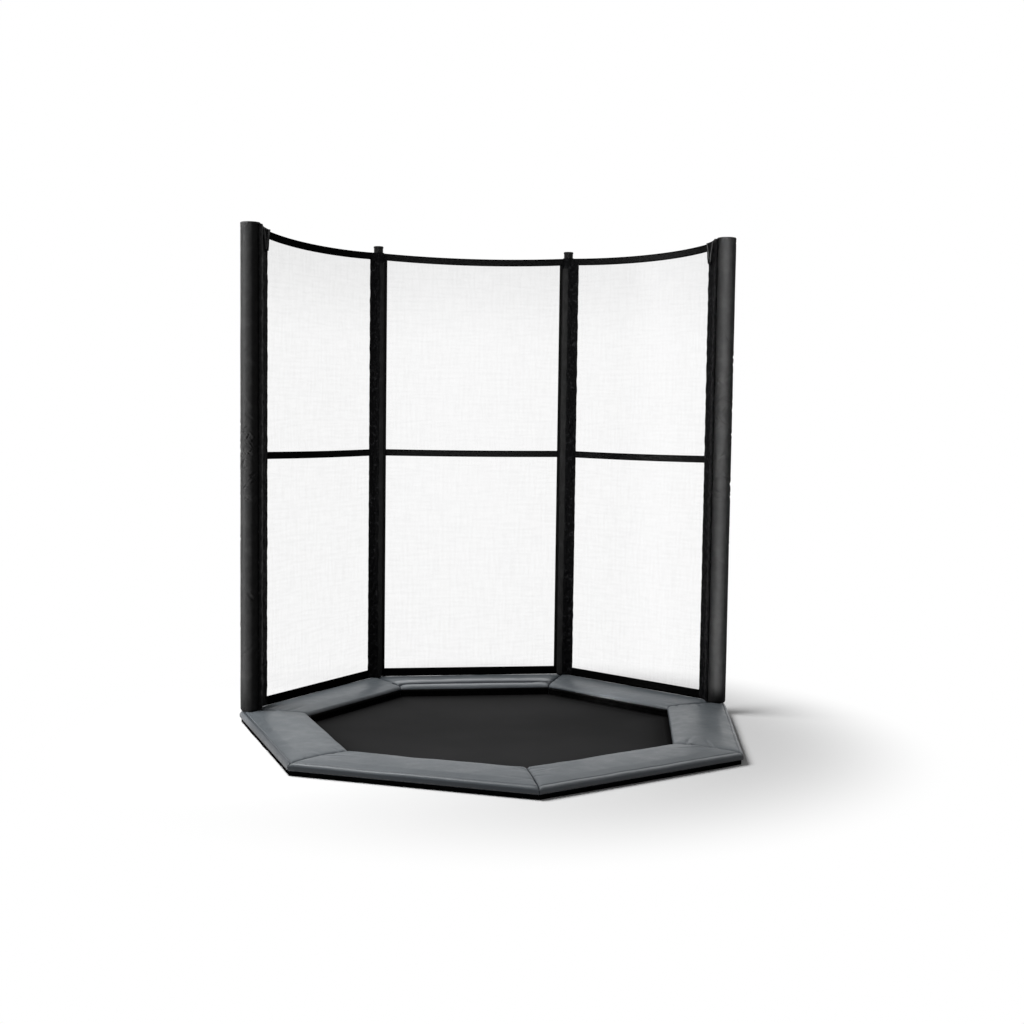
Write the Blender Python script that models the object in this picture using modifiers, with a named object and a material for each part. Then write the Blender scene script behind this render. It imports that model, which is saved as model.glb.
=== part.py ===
"""A seven-sided garden trampoline set level with the ground, with a half safety net on four padded posts.

Metres, +Z up. The feet stand at z = 0 and the origin is the middle of the bounding box's base.
The netted half faces +Y and the open half faces -Y. Corners are lettered a, b, c ... clockwise
seen from above: a to d carry posts, and the side from b to c faces +Y.
Each piece is placed in a frame of the ring whose +Y points to a corner, or to a side's middle.
"""

import math
from itertools import product

import bmesh
import bpy
from mathutils import Matrix, Vector

# Layout
SIDES = 7
POSTS = 4
SPRINGS_A_SIDE = 5
SLIP = 0.0003  # clearance between pieces that fit or rest on each other

# Steel frame
FRAME_CORNER_RADIUS = 0.862  # ring centre to a leg's axis
RAIL_HEIGHT = 0.200  # rail axis above the feet's undersides
TUBE_RADIUS = 0.019
TUBE_WALL = 0.002
SOCKET_WALL = 0.0025
SOCKET_REACH = 0.070  # corner axis to a socket's mouth
SOCKET_WEB = 0.016  # corner axis to the blind end of a side socket
LEG_SEAT = 0.022  # rail axis down to the blind end of the leg socket
FOOT_RADIUS = 0.045
FOOT_THICKNESS = 0.004

# Net posts and what holds them
POST_SPACING = 0.060  # leg axis to post axis
POST_LENGTH = 2.020
BRACKET_BASE = 0.020  # floor to the bracket's underside
BRACKET_HEIGHT = 0.102
BRACKET_RING = 0.040  # height of each of its two rings
BRACKET_WALL = 0.004
BRACKET_WEB = 0.008
CAP_THICKNESS = 0.007
CAP_CHAMFER = 0.002
CAP_PLUG = 0.030
CAP_BRIM = 0.0015  # how far a slim post's cap stands out from the tube
FRONT_SLEEVE_RADIUS = 0.037
BACK_SLEEVE_RADIUS = 0.025
BACK_LOOP_RADIUS = 0.0225  # the fabric loop that holds the net to a slim post
BACK_LOOP_HEIGHT = 0.042

# Pads over the frame and springs
PAD_WIDTH = 0.230
PAD_OVERHANG = 0.091  # rail axis to the pad's outer edge, square to the side
PAD_THICKNESS = 0.030
PAD_CROWN = 0.004  # middle of the top above its long edges
PAD_PUCKER = 0.003  # how far the top dips at a mitre seam
PAD_PUCKER_POWER = 12  # how closely the dip keeps to the seam
PAD_EDGE_RADIUS = 0.010
PAD_ROLL_SHARE = 0.45  # the most of an edge's height that one rolled edge takes up
PAD_MITRE_GAP = 0.0005
PAD_HOLE_CLEARANCE = 0.001  # round the post tube

# Mat and springs
MAT_TUCK = 0.022  # how far the mat reaches under the pads
MAT_HEM_THICKNESS = 0.006
MAT_CLOTH_THICKNESS = 0.003
MAT_HEM_WIDTH = 0.040
HEM_ROD_RADIUS = 0.003
HEM_ROD_END_GAP = 0.006
SPRING_RADIUS = 0.009
SPRING_WIRE_RADIUS = 0.002
SPRING_HOOK_LENGTH = 0.018
SPRING_END_MARGIN = 0.075  # end of the hem rod to the first spring

# Safety net
NET_DROP = 0.028  # top of a post down to the net's top edge
NET_SAG = 0.012
NET_THICKNESS = 0.0015
NET_CORD_WIDTH = 0.006
NET_COLUMNS = 6
NET_ROWS = 12
BORDER_THICKNESS = 0.003
TOP_BAND_HEIGHT = 0.028
STRAP_HEIGHT = 0.027
STRAP_RISE = 0.948  # pad top to the middle of the strap
BOTTOM_BAND_HEIGHT = 0.034
EDGE_BAND_WIDTH = 0.050  # upright bands of the two side panels
SLIM_EDGE_WIDTH = 0.012  # upright edges of the back panel
GUSSET_RISE = 0.022  # how far a side panel's outer top corner is drawn up its post

# How finely shapes are divided
ROUND_STEPS = 16
SPRING_STEPS = 6
SAG_POINTS = 12
PAD_LENGTH_CUTS = 9
PAD_WIDTH_CUTS = 5
PAD_CUT_CROWDING = 1.5  # over 1 puts the lengthwise cuts closer together near the ends
PAD_BEVEL_STEPS = 3
CREASE_ANGLE = math.radians(40)  # edges sharper than this are shaded as edges

# Worked out from the sizes above
HALF_TURN = math.pi / SIDES  # half the angle of one side
SOCKET_RADIUS = TUBE_RADIUS + SLIP + SOCKET_WALL
RAIL_APOTHEM = FRAME_CORNER_RADIUS * math.cos(HALF_TURN)
PAD_OUTER = RAIL_APOTHEM + PAD_OVERHANG
PAD_INNER = PAD_OUTER - PAD_WIDTH
PAD_BASE = RAIL_HEIGHT + SOCKET_RADIUS + SLIP
PAD_TOP = PAD_BASE + PAD_THICKNESS
POST_RADIUS = FRAME_CORNER_RADIUS + POST_SPACING
POST_APOTHEM = POST_RADIUS * math.cos(HALF_TURN)
POST_FOOT = BRACKET_BASE + BRACKET_WALL + SLIP
POST_TOP = POST_FOOT + POST_LENGTH
NET_TOP = POST_TOP + SLIP + CAP_THICKNESS - NET_DROP
MAT_APOTHEM = PAD_INNER + MAT_TUCK
PAD_LEAST_EDGE = PAD_THICKNESS - PAD_CROWN - PAD_PUCKER  # its height at the ends of the long edges
PAD_ROLL = min(PAD_EDGE_RADIUS, PAD_ROLL_SHARE * PAD_LEAST_EDGE)
PAD_MIDDLE = (PAD_INNER + PAD_OUTER) / 2
RING_CENTRE_Y = (PAD_OUTER / math.cos(HALF_TURN) - PAD_OUTER) / 2  # a corner is in front, a side behind

NET_SIDES = range(POSTS - 1)
FRONT_POSTS = (0, POSTS - 1)


def letter(corner):
    return chr(ord("a") + corner % SIDES)


def side_name(side):
    return letter(side) + letter(side + 1)


def ring_frame(corner, radius=0.0, height=0.0):
    """A frame on the ring whose +Y points outwards to a corner, or to a side's middle at half numbers."""
    turn = (POSTS / 2 - 0.5 - corner) * 2 * HALF_TURN
    return (
        Matrix.Translation((0, RING_CENTRE_Y, 0))
        @ Matrix.Rotation(turn, 4, "Z")
        @ Matrix.Translation((0, radius, height))
    )


def along(direction):
    """A rotation that turns +Z to a level direction and +X to straight up."""
    out = Vector(direction).normalized()
    up = Vector((0, 0, 1))
    return Matrix((up, out.cross(up), out)).transposed().to_4x4()


def clear_scene():
    for stale in list(bpy.data.objects):
        bpy.data.objects.remove(stale, do_unlink=True)


def new_collection(name):
    made = bpy.data.collections.new(name)
    bpy.context.scene.collection.children.link(made)
    return made


def material(name, colour, roughness, metallic=0.0, alpha=1.0):
    made = bpy.data.materials.new(name)
    made.use_nodes = True
    shader = made.node_tree.nodes["Principled BSDF"]
    shader.inputs["Base Color"].default_value = (*colour, 1)
    shader.inputs["Roughness"].default_value = roughness
    shader.inputs["Metallic"].default_value = metallic
    shader.inputs["Alpha"].default_value = alpha
    return made


clear_scene()
PARTS = new_collection("trampoline")
CUTTERS = new_collection("cutters")

GALVANISED = material("galvanised_steel", (0.55, 0.57, 0.60), 0.45, metallic=1.0)
SPRING_STEEL = material("spring_steel", (0.62, 0.63, 0.65), 0.30, metallic=1.0)
POWDER_COAT = material("black_powder_coat", (0.020, 0.020, 0.022), 0.40)
MOULDED_BLACK = material("black_cap_plastic", (0.018, 0.018, 0.020), 0.45)
SLEEVE_VINYL = material("black_sleeve_vinyl", (0.022, 0.022, 0.024), 0.42)
PAD_VINYL = material("slate_pad_vinyl", (0.105, 0.118, 0.130), 0.50)
MAT_WEAVE = material("black_mat_weave", (0.016, 0.016, 0.017), 0.70)
WEBBING = material("black_webbing", (0.012, 0.012, 0.013), 0.80)
NETTING = material("pale_netting", (0.75, 0.75, 0.76), 0.80, alpha=0.25)


def add_part(name, data, frame, look, collection=None):
    made = bpy.data.objects.new(name, data)
    (collection or PARTS).objects.link(made)
    made.matrix_world = frame
    data.materials.clear()
    data.materials.append(look)
    return made


def helper(name, data, frame=None):
    """A construction shape, which guides or cuts and isn't a piece of the trampoline."""
    made = bpy.data.objects.new(name, data)
    CUTTERS.objects.link(made)
    made.matrix_world = frame or Matrix()
    made.hide_render = True
    made.display_type = "WIRE"
    return made


def outline_mesh(name, profile, closed):
    """A turned piece's profile as a chain of edges: (radius, height) down its outer side."""
    made = bpy.data.meshes.new(name)
    count = len(profile)
    links = [(i, (i + 1) % count) for i in range(count if closed else count - 1)]
    made.from_pydata([(radius, 0, height) for radius, height in profile], links, [])
    return made


def turn_about_z(piece, steps=ROUND_STEPS):
    screw = piece.modifiers.new("turn", "SCREW")
    screw.steps = steps
    screw.render_steps = steps
    screw.merge_threshold = 0.00001
    screw.use_merge_vertices = True
    screw.use_smooth_shade = True
    return piece


def tube_profile(outer, inner, bottom, top):
    return [(outer, top), (outer, bottom), (inner, bottom), (inner, top)]


def rod_profile(radius, bottom, top):
    return [(0, top), (radius, top), (radius, bottom), (0, bottom)]


def turned_part(name, profile, frame, look, closed=False):
    return turn_about_z(add_part(name, outline_mesh(name, profile, closed), frame, look))


def turned_helper(name, profile, frame=None, steps=ROUND_STEPS):
    return turn_about_z(helper(name, outline_mesh(name, profile, False), frame), steps)


def boolean(piece, operation, other):
    cut = piece.modifiers.new(operation.lower(), "BOOLEAN")
    cut.operation = operation
    cut.solver = "EXACT"
    cut.object = other


def shade(made):
    """Shades a mesh smooth except at its creases."""
    made.shade_smooth()
    made.set_sharp_from_angle(angle=CREASE_ANGLE)
    return made


def mesh_from(shape, name):
    """A mesh from a bmesh, which it frees."""
    made = bpy.data.meshes.new(name)
    shape.to_mesh(made)
    shape.free()
    return made


def finished_mesh(piece, name):
    """The mesh of a helper with its modifiers applied."""
    bpy.context.view_layer.update()
    shape = piece.evaluated_get(bpy.context.evaluated_depsgraph_get())
    made = bpy.data.meshes.new_from_object(shape)
    made.name = name
    return shade(made)


# Steel frame


def corner_socket_mesh():
    """Two level sockets for the rails and one for the leg, about a solid knuckle."""
    bore = TUBE_RADIUS + SLIP
    shape = bmesh.new()
    bmesh.ops.create_uvsphere(
        shape, u_segments=ROUND_STEPS, v_segments=ROUND_STEPS // 2, radius=SOCKET_RADIUS
    )
    body = helper("socket_knuckle", mesh_from(shape, "knuckle"))
    down = rod_profile(SOCKET_RADIUS, -SOCKET_REACH, 0)
    boolean(body, "UNION", turned_helper("leg_socket", down))
    arms = [along((sign * math.cos(HALF_TURN), -math.sin(HALF_TURN), 0)) for sign in (-1, 1)]
    for count, arm in enumerate(arms):
        outside = rod_profile(SOCKET_RADIUS, 0, SOCKET_REACH)
        boolean(body, "UNION", turned_helper(f"rail_socket_{count}", outside, arm))
    for count, arm in enumerate(arms):
        inside = rod_profile(bore, SOCKET_WEB, 2 * SOCKET_REACH)
        boolean(body, "DIFFERENCE", turned_helper(f"rail_bore_{count}", inside, arm))
    inside = rod_profile(bore, -2 * SOCKET_REACH, -LEG_SEAT)
    boolean(body, "DIFFERENCE", turned_helper("leg_bore", inside))
    return finished_mesh(body, "corner_socket")


def build_frame():
    socket = corner_socket_mesh()
    rail_half = FRAME_CORNER_RADIUS * math.sin(HALF_TURN) - SOCKET_WEB - SLIP
    inner = TUBE_RADIUS - TUBE_WALL
    leg_top = RAIL_HEIGHT - LEG_SEAT - SLIP
    leg = [
        (0, FOOT_THICKNESS),
        (inner, FOOT_THICKNESS),
        (inner, leg_top),
        (TUBE_RADIUS, leg_top),
        (TUBE_RADIUS, FOOT_THICKNESS),
        (FOOT_RADIUS, FOOT_THICKNESS),
        (FOOT_RADIUS, 0),
        (0, 0),
    ]
    for index in range(SIDES):
        corner = ring_frame(index, FRAME_CORNER_RADIUS)
        turned_part(f"leg_{letter(index)}", leg, corner, GALVANISED)
        lifted = ring_frame(index, FRAME_CORNER_RADIUS, RAIL_HEIGHT)
        add_part(f"corner_socket_{letter(index)}", socket, lifted, GALVANISED)
        middle = ring_frame(index + 0.5, RAIL_APOTHEM, RAIL_HEIGHT) @ along((1, 0, 0))
        rail = tube_profile(TUBE_RADIUS, inner, -rail_half, rail_half)
        turned_part(f"top_rail_{side_name(index)}", rail, middle, GALVANISED, closed=True)


# Net posts


def post_bracket_mesh():
    """Two pairs of rings about the leg and the post, joined by an upright web."""
    outer = TUBE_RADIUS + SLIP + BRACKET_WALL
    bore = TUBE_RADIUS + SLIP
    top = BRACKET_BASE + BRACKET_HEIGHT
    shape = bmesh.new()
    bmesh.ops.create_cube(shape, size=1)
    bmesh.ops.scale(shape, vec=(BRACKET_WEB, POST_SPACING, BRACKET_HEIGHT), verts=shape.verts)
    middle = (0, POST_SPACING / 2, BRACKET_BASE + BRACKET_HEIGHT / 2)
    bmesh.ops.translate(shape, vec=middle, verts=shape.verts)
    body = helper("bracket_web", mesh_from(shape, "bracket_web"))
    for place, offset in (("leg", 0), ("post", POST_SPACING)):
        frame = Matrix.Translation((0, offset, 0))
        for level, bottom in (("lower", BRACKET_BASE), ("upper", top - BRACKET_RING)):
            ring = rod_profile(outer, bottom, bottom + BRACKET_RING)
            boolean(body, "UNION", turned_helper(f"{level}_{place}_ring", ring, frame))
    leg_bore = rod_profile(bore, 0, 2 * top)
    boolean(body, "DIFFERENCE", turned_helper("bracket_leg_bore", leg_bore))
    post_bore = rod_profile(bore, BRACKET_BASE + BRACKET_WALL, 2 * top)
    frame = Matrix.Translation((0, POST_SPACING, 0))
    boolean(body, "DIFFERENCE", turned_helper("bracket_post_bore", post_bore, frame))
    return finished_mesh(body, "post_bracket")


def cap_profile(radius):
    plug = TUBE_RADIUS - TUBE_WALL - SLIP
    return [
        (0, CAP_THICKNESS),
        (radius - CAP_CHAMFER, CAP_THICKNESS),
        (radius, CAP_THICKNESS - CAP_CHAMFER),
        (radius, 0),
        (plug, 0),
        (plug, -CAP_PLUG),
        (0, -CAP_PLUG),
    ]


def sleeve_profile(is_front):
    bottom = PAD_TOP + SLIP
    bore = TUBE_RADIUS + SLIP
    if is_front:
        return tube_profile(FRONT_SLEEVE_RADIUS, bore, bottom, POST_TOP)
    shoulder = NET_TOP - BACK_LOOP_HEIGHT
    return [
        (BACK_LOOP_RADIUS, NET_TOP),
        (BACK_LOOP_RADIUS, shoulder),
        (BACK_SLEEVE_RADIUS, shoulder),
        (BACK_SLEEVE_RADIUS, bottom),
        (bore, bottom),
        (bore, NET_TOP),
    ]


def sleeve_radius(corner):
    return FRONT_SLEEVE_RADIUS if corner in FRONT_POSTS else BACK_SLEEVE_RADIUS


def build_posts():
    bracket = post_bracket_mesh()
    tube = tube_profile(TUBE_RADIUS, TUBE_RADIUS - TUBE_WALL, POST_FOOT, POST_TOP)
    for index in range(POSTS):
        is_front = index in FRONT_POSTS
        name = letter(index)
        add_part(f"post_bracket_{name}", bracket, ring_frame(index, FRAME_CORNER_RADIUS), POWDER_COAT)
        stand = ring_frame(index, POST_RADIUS)
        turned_part(f"post_{name}", tube, stand, POWDER_COAT, closed=True)
        turned_part(f"post_sleeve_{name}", sleeve_profile(is_front), stand, SLEEVE_VINYL, closed=True)
        cap_radius = FRONT_SLEEVE_RADIUS if is_front else TUBE_RADIUS + CAP_BRIM
        seat = ring_frame(index, POST_RADIUS, POST_TOP + SLIP)
        turned_part(f"post_cap_{name}", cap_profile(cap_radius), seat, MOULDED_BLACK)


# Pads


def box_edges(shape, axis):
    """The edges of a box that run along one axis."""
    return [
        edge for edge in shape.edges if abs(edge.verts[0].co[axis] - edge.verts[1].co[axis]) > SLIP
    ]


def pad_mesh():
    """One side's pad: a mitred bar with rolled edges, a crowned top and puckered ends."""
    shape = bmesh.new()
    bmesh.ops.create_cube(shape, size=2)
    for axis, cuts in ((0, PAD_LENGTH_CUTS), (1, PAD_WIDTH_CUTS)):
        bmesh.ops.subdivide_edges(shape, edges=box_edges(shape, axis), cuts=cuts, use_grid_fill=True)
    rolled = [
        edge for edge in box_edges(shape, 0) if all(abs(vert.co.y) > 1 - SLIP for vert in edge.verts)
    ]
    for vert in shape.verts:
        run, across, level = vert.co
        offset = across * PAD_WIDTH / 2
        half = (PAD_MIDDLE + offset) * math.tan(HALF_TURN) - PAD_MITRE_GAP / 2 / math.cos(HALF_TURN)
        crowded = math.copysign(1 - (1 - abs(run)) ** PAD_CUT_CROWDING, run)
        height = PAD_BASE
        if level > 0:
            height = PAD_TOP - PAD_CROWN * across**2 - PAD_PUCKER * abs(run) ** PAD_PUCKER_POWER
        vert.co = (crowded * half, offset, height)
    bmesh.ops.bevel(
        shape,
        geom=rolled,
        offset=PAD_ROLL,
        segments=PAD_BEVEL_STEPS,
        profile=0.5,
        affect="EDGES",
    )
    bmesh.ops.recalc_face_normals(shape, faces=shape.faces)
    return shade(mesh_from(shape, "pad"))


def build_pads():
    hole = rod_profile(TUBE_RADIUS + PAD_HOLE_CLEARANCE, RAIL_HEIGHT, PAD_TOP + PAD_THICKNESS)
    holes = {
        index: turned_helper(f"post_hole_{letter(index)}", hole, ring_frame(index, POST_RADIUS))
        for index in range(POSTS)
    }
    shared = pad_mesh()
    for index in range(SIDES):
        frame = ring_frame(index + 0.5, PAD_MIDDLE)
        pad = add_part(f"pad_{side_name(index)}", shared.copy(), frame, PAD_VINYL)
        for corner in (index, (index + 1) % SIDES):
            if corner in holes:
                boolean(pad, "DIFFERENCE", holes[corner])
    bpy.data.meshes.remove(shared)


# Mat and springs


def mat_mesh():
    """A flat sheet of the ring's shape with a thicker hem all round."""
    shape = bmesh.new()
    radius = MAT_APOTHEM / math.cos(HALF_TURN)
    bmesh.ops.create_cone(
        shape, cap_ends=True, segments=SIDES, radius1=radius, radius2=radius, depth=MAT_HEM_THICKNESS
    )
    caps = [face for face in shape.faces if len(face.verts) == SIDES]
    bmesh.ops.inset_region(shape, faces=caps, thickness=MAT_HEM_WIDTH, use_even_offset=True)
    step = (MAT_HEM_THICKNESS - MAT_CLOTH_THICKNESS) / 2
    bmesh.ops.inset_region(shape, faces=caps, thickness=step, use_even_offset=True)
    for face in caps:
        bmesh.ops.translate(shape, vec=face.normal * -step, verts=face.verts)
    return mesh_from(shape, "mat")


def spring_row_mesh():
    """One side's springs in a row, hooked on the rod that runs in the mat's hem."""
    rod_line = MAT_APOTHEM + SLIP + HEM_ROD_RADIUS
    rod_half = rod_line * math.tan(HALF_TURN) - HEM_ROD_END_GAP
    rail_face = RAIL_APOTHEM - TUBE_RADIUS - SLIP
    length = rail_face - rod_line
    hook = SPRING_HOOK_LENGTH
    spring = [
        (0, length),
        (SPRING_WIRE_RADIUS, length),
        (SPRING_WIRE_RADIUS, length - hook),
        (SPRING_RADIUS, length - hook),
        (SPRING_RADIUS, hook),
        (SPRING_WIRE_RADIUS, hook),
        (SPRING_WIRE_RADIUS, 0),
        (0, 0),
    ]
    rod_frame = Matrix.Translation((0, rod_line, 0)) @ along((1, 0, 0))
    row = turned_helper("hem_rod", rod_profile(HEM_ROD_RADIUS, -rod_half, rod_half), rod_frame, SPRING_STEPS)
    first = rod_half - SPRING_END_MARGIN
    for count in range(SPRINGS_A_SIDE):
        place = first * (2 * count / (SPRINGS_A_SIDE - 1) - 1)
        frame = Matrix.Translation((place, rod_line, 0)) @ along((0, 1, 0))
        boolean(row, "UNION", turned_helper(f"spring_{count}", spring, frame, SPRING_STEPS))
    made = finished_mesh(row, "spring_row")
    made.transform(rod_frame)
    return made


def build_bed():
    add_part("mat", mat_mesh(), ring_frame(0, 0, RAIL_HEIGHT), MAT_WEAVE)
    row = spring_row_mesh()
    for index in range(SIDES):
        frame = ring_frame(index + 0.5, 0, RAIL_HEIGHT)
        add_part(f"spring_row_{side_name(index)}", row, frame, SPRING_STEEL)


# Safety net


def flat_outline(name, loops, thickness, frame, look):
    """A flat piece cut to a loop of points, with a hole for each further loop."""
    curve = bpy.data.curves.new(name, "CURVE")
    curve.dimensions = "2D"
    curve.fill_mode = "BOTH"
    curve.extrude = thickness / 2
    for loop in loops:
        spline = curve.splines.new("POLY")
        spline.points.add(len(loop) - 1)
        for point, (run, height) in zip(spline.points, loop):
            point.co = (run, height, 0, 1)
        spline.use_cyclic_u = True
    return add_part(name, curve, frame, look)


def sagging_edge(left, right, height):
    """Points of an edge that hangs between its ends, from right to left."""
    points = []
    for count in range(SAG_POINTS + 1):
        share = count / SAG_POINTS
        fall = NET_SAG * 4 * share * (1 - share)
        points.append((right + (left - right) * share, height - fall))
    return points


def window(left, right, bottom, top_points):
    return [(left, bottom), (right, bottom), *top_points]


def net_gaps(left, right, bottom, top):
    """The gaps between a net's level and upright cords."""
    across = (right - left) / NET_COLUMNS
    up = (top - bottom) / NET_ROWS
    cord = NET_CORD_WIDTH / 2
    gaps = []
    for column, row in product(range(NET_COLUMNS), range(NET_ROWS)):
        near, low = left + column * across + cord, bottom + row * up + cord
        far, high = near + across - 2 * cord, low + up - 2 * cord
        gaps.append(window(near, far, low, [(far, high), (near, high)]))
    return gaps


def build_net():
    half_span = POST_RADIUS * math.sin(HALF_TURN)
    strap_middle = PAD_TOP + STRAP_RISE
    strap_low = strap_middle - STRAP_HEIGHT / 2
    strap_high = strap_middle + STRAP_HEIGHT / 2
    base = PAD_TOP + SLIP
    band_low = base + BOTTOM_BAND_HEIGHT
    for index in NET_SIDES:
        left = -half_span + sleeve_radius(index) + SLIP
        right = half_span - sleeve_radius(index + 1) - SLIP
        is_side = index in FRONT_POSTS or index + 1 in FRONT_POSTS
        edge = EDGE_BAND_WIDTH if is_side else SLIM_EDGE_WIDTH
        top = sagging_edge(left, right, NET_TOP)
        if index + 1 in FRONT_POSTS:
            top = [(right, NET_TOP + GUSSET_RISE), *sagging_edge(left, right - edge, NET_TOP)]
        if index in FRONT_POSTS:
            top = [*sagging_edge(left + edge, right, NET_TOP), (left, NET_TOP + GUSSET_RISE)]
        inner_left, inner_right = left + edge, right - edge
        frame = ring_frame(index + 0.5, POST_APOTHEM) @ Matrix.Rotation(math.pi / 2, 4, "X")
        under_band = sagging_edge(inner_left, inner_right, NET_TOP - TOP_BAND_HEIGHT)
        under_strap = [(inner_right, strap_low), (inner_left, strap_low)]
        border = [
            window(left, right, base, top),
            window(inner_left, inner_right, band_low, under_strap),
            window(inner_left, inner_right, strap_high, under_band),
        ]
        flat_outline(f"net_border_{side_name(index)}", border, BORDER_THICKNESS, frame, WEBBING)
        behind = (BORDER_THICKNESS + NET_THICKNESS) / 2 + SLIP
        sheet_frame = frame @ Matrix.Translation((0, 0, -behind))
        outer = window(left + SLIP, right - SLIP, base, sagging_edge(left + SLIP, right - SLIP, NET_TOP))
        gaps = net_gaps(inner_left, inner_right, band_low, NET_TOP - TOP_BAND_HEIGHT - NET_SAG)
        net = [outer, *gaps]
        flat_outline(f"net_panel_{side_name(index)}", net, NET_THICKNESS, sheet_frame, NETTING)


build_frame()
build_posts()
build_pads()
build_bed()
build_net()
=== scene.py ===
"""Looks for the trampoline: padded covers, coil springs, mat, net and webbing, and a plain studio.

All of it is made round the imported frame, in that model's frame: metres, +Z up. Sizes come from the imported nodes.
"""

import math
import random

import bmesh
import bpy
import numpy as np
from mathutils import Matrix, Vector, noise


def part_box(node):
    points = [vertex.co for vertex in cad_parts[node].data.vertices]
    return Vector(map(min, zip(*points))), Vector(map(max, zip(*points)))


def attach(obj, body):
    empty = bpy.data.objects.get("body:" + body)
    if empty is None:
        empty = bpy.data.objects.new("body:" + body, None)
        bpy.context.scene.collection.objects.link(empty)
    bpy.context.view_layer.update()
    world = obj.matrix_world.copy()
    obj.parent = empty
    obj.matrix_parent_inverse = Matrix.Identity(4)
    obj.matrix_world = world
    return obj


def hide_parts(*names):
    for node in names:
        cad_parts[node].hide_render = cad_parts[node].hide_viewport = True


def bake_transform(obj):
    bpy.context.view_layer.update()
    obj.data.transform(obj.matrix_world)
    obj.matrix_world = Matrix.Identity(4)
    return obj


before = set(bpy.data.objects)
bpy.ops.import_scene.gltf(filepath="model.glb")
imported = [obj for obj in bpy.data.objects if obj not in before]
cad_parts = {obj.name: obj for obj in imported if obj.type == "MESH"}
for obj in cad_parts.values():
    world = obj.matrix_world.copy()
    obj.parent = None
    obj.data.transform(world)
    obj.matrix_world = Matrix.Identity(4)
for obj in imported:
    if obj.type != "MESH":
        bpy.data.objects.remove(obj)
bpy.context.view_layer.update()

SIDES = 7
POSTS = 4
SPRINGS_A_SIDE = 5
HALF_TURN = math.pi / SIDES
SLOPE = math.tan(HALF_TURN)  # half a side's length as a share of its way from the middle
SLIP = 0.0003  # between a tube and what is on it
ROOT, BED = "frame", "mat"

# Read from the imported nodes
mat_low, mat_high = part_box("mat")
MAT_APOTHEM = (mat_high.y - mat_low.y) / (1 + 1 / math.cos(HALF_TURN))
CENTRE_Y = mat_high.y - MAT_APOTHEM
BED_HEIGHT = (mat_low.z + mat_high.z) / 2
pad_low, pad_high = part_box("pad_bc")
PAD_INNER, PAD_OUTER = pad_low.y - CENTRE_Y, pad_high.y - CENTRE_Y
PAD_BASE, PAD_TOP = pad_low.z, pad_high.z
PAD_MIDDLE = (PAD_INNER + PAD_OUTER) / 2
PAD_WIDTH = PAD_OUTER - PAD_INNER
rail_low, rail_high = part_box("top_rail_bc")
TUBE_RADIUS = (rail_high.z - rail_low.z) / 2
RAIL_APOTHEM = (rail_low.y + rail_high.y) / 2 - CENTRE_Y
post_low, post_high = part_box("post_b")
post_axis = Vector(((post_low.x + post_high.x) / 2, (post_low.y + post_high.y) / 2 - CENTRE_Y))
POST_RADIUS, POST_TOP = post_axis.length, post_high.z
POST_APOTHEM = POST_RADIUS * math.cos(HALF_TURN)
NET_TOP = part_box("post_sleeve_b")[1].z

# Sizes of the soft pieces, as in the frame's own source
FRONT_SLEEVE, BACK_SLEEVE = 0.037, 0.025
SLEEVE_FOOT = PAD_TOP - 0.0006
LOOP_HEIGHT = 0.042
NET_SAG, TOP_BAND, STRAP, BOTTOM_BAND = 0.012, 0.028, 0.027, 0.034
STRAP_RISE = 0.948
MAT_HEM = 0.040
ROD_RADIUS = 0.003

# Sizes that only the looks have
NET_BASE = PAD_TOP + 0.0012
FRONT_RISE = 0.016  # how far the net's top edge is drawn up at the front posts
TUCK = 0.0025  # how far the net's edges reach into the sleeves' covers
SLIM_EDGE = 0.014
BAND_REACH = (0.060, 0.034, 0.034, 0.046)  # how far each post's gathered band reaches past its sleeve
BAND_TURN = (90, 50, 50, 67)  # where round the sleeve it starts, in degrees
LEAVE_TURN = math.radians(35)  # where it leaves the sleeve
BAND_ROWS, BAND_COLUMNS = 360, 24
NETTING_THICK, BAND_THICK, STRAP_THICK, EDGE_THICK, GUSSET_THICK = 0.0009, 0.0036, 0.0030, 0.0026, 0.0018
TIE_RADIUS, KNOT_SIZE = 0.0038, (0.0100, 0.0145, 0.0058)
GROUND = PAD_BASE - 0.016


def letter(corner):
    return chr(ord("a") + corner % SIDES)


def side_name(side):
    return letter(side) + letter(side + 1)


def ring_frame(corner, radius=0.0, height=0.0):
    """A frame whose +Y points out from the ring's middle to a corner, or at half numbers to a side's middle."""
    turn = (POSTS / 2 - 0.5 - corner) * 2 * HALF_TURN
    turned = Matrix.Translation((0, CENTRE_Y, 0)) @ Matrix.Rotation(turn, 4, "Z")
    return turned @ Matrix.Translation((0, radius, height))


def net_frame(side):
    """A frame on a net panel: +X along the side, +Y up and +Z to the ring's middle."""
    return ring_frame(side + 0.5, POST_APOTHEM) @ Matrix.Rotation(math.pi / 2, 4, "X")


def is_front(corner):
    return corner in (0, POSTS - 1)


def smooth_step(low, high, value):
    share = min(max((value - low) / (high - low), 0.0), 1.0)
    return share * share * (3 - 2 * share)


def bell(away, width):
    """1 where away is 0, and next to nothing from two widths on."""
    return math.exp(-((away / width) ** 2))


def uneven(x, y, z, drift):
    return noise.noise(Vector((x, y, z)) + drift)


def grey(level):
    return (level,) * 3


# Materials


def add_node(tree, kind, inputs=None, **settings):
    """A node with its settings, and its inputs linked to sockets or set to values."""
    made = tree.nodes.new(kind)
    for key, value in settings.items():
        setattr(made, key, value)
    for key, value in (inputs or {}).items():
        if isinstance(value, bpy.types.NodeSocket):
            tree.links.new(value, made.inputs[key])
        else:
            made.inputs[key].default_value = value
    return made


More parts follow.
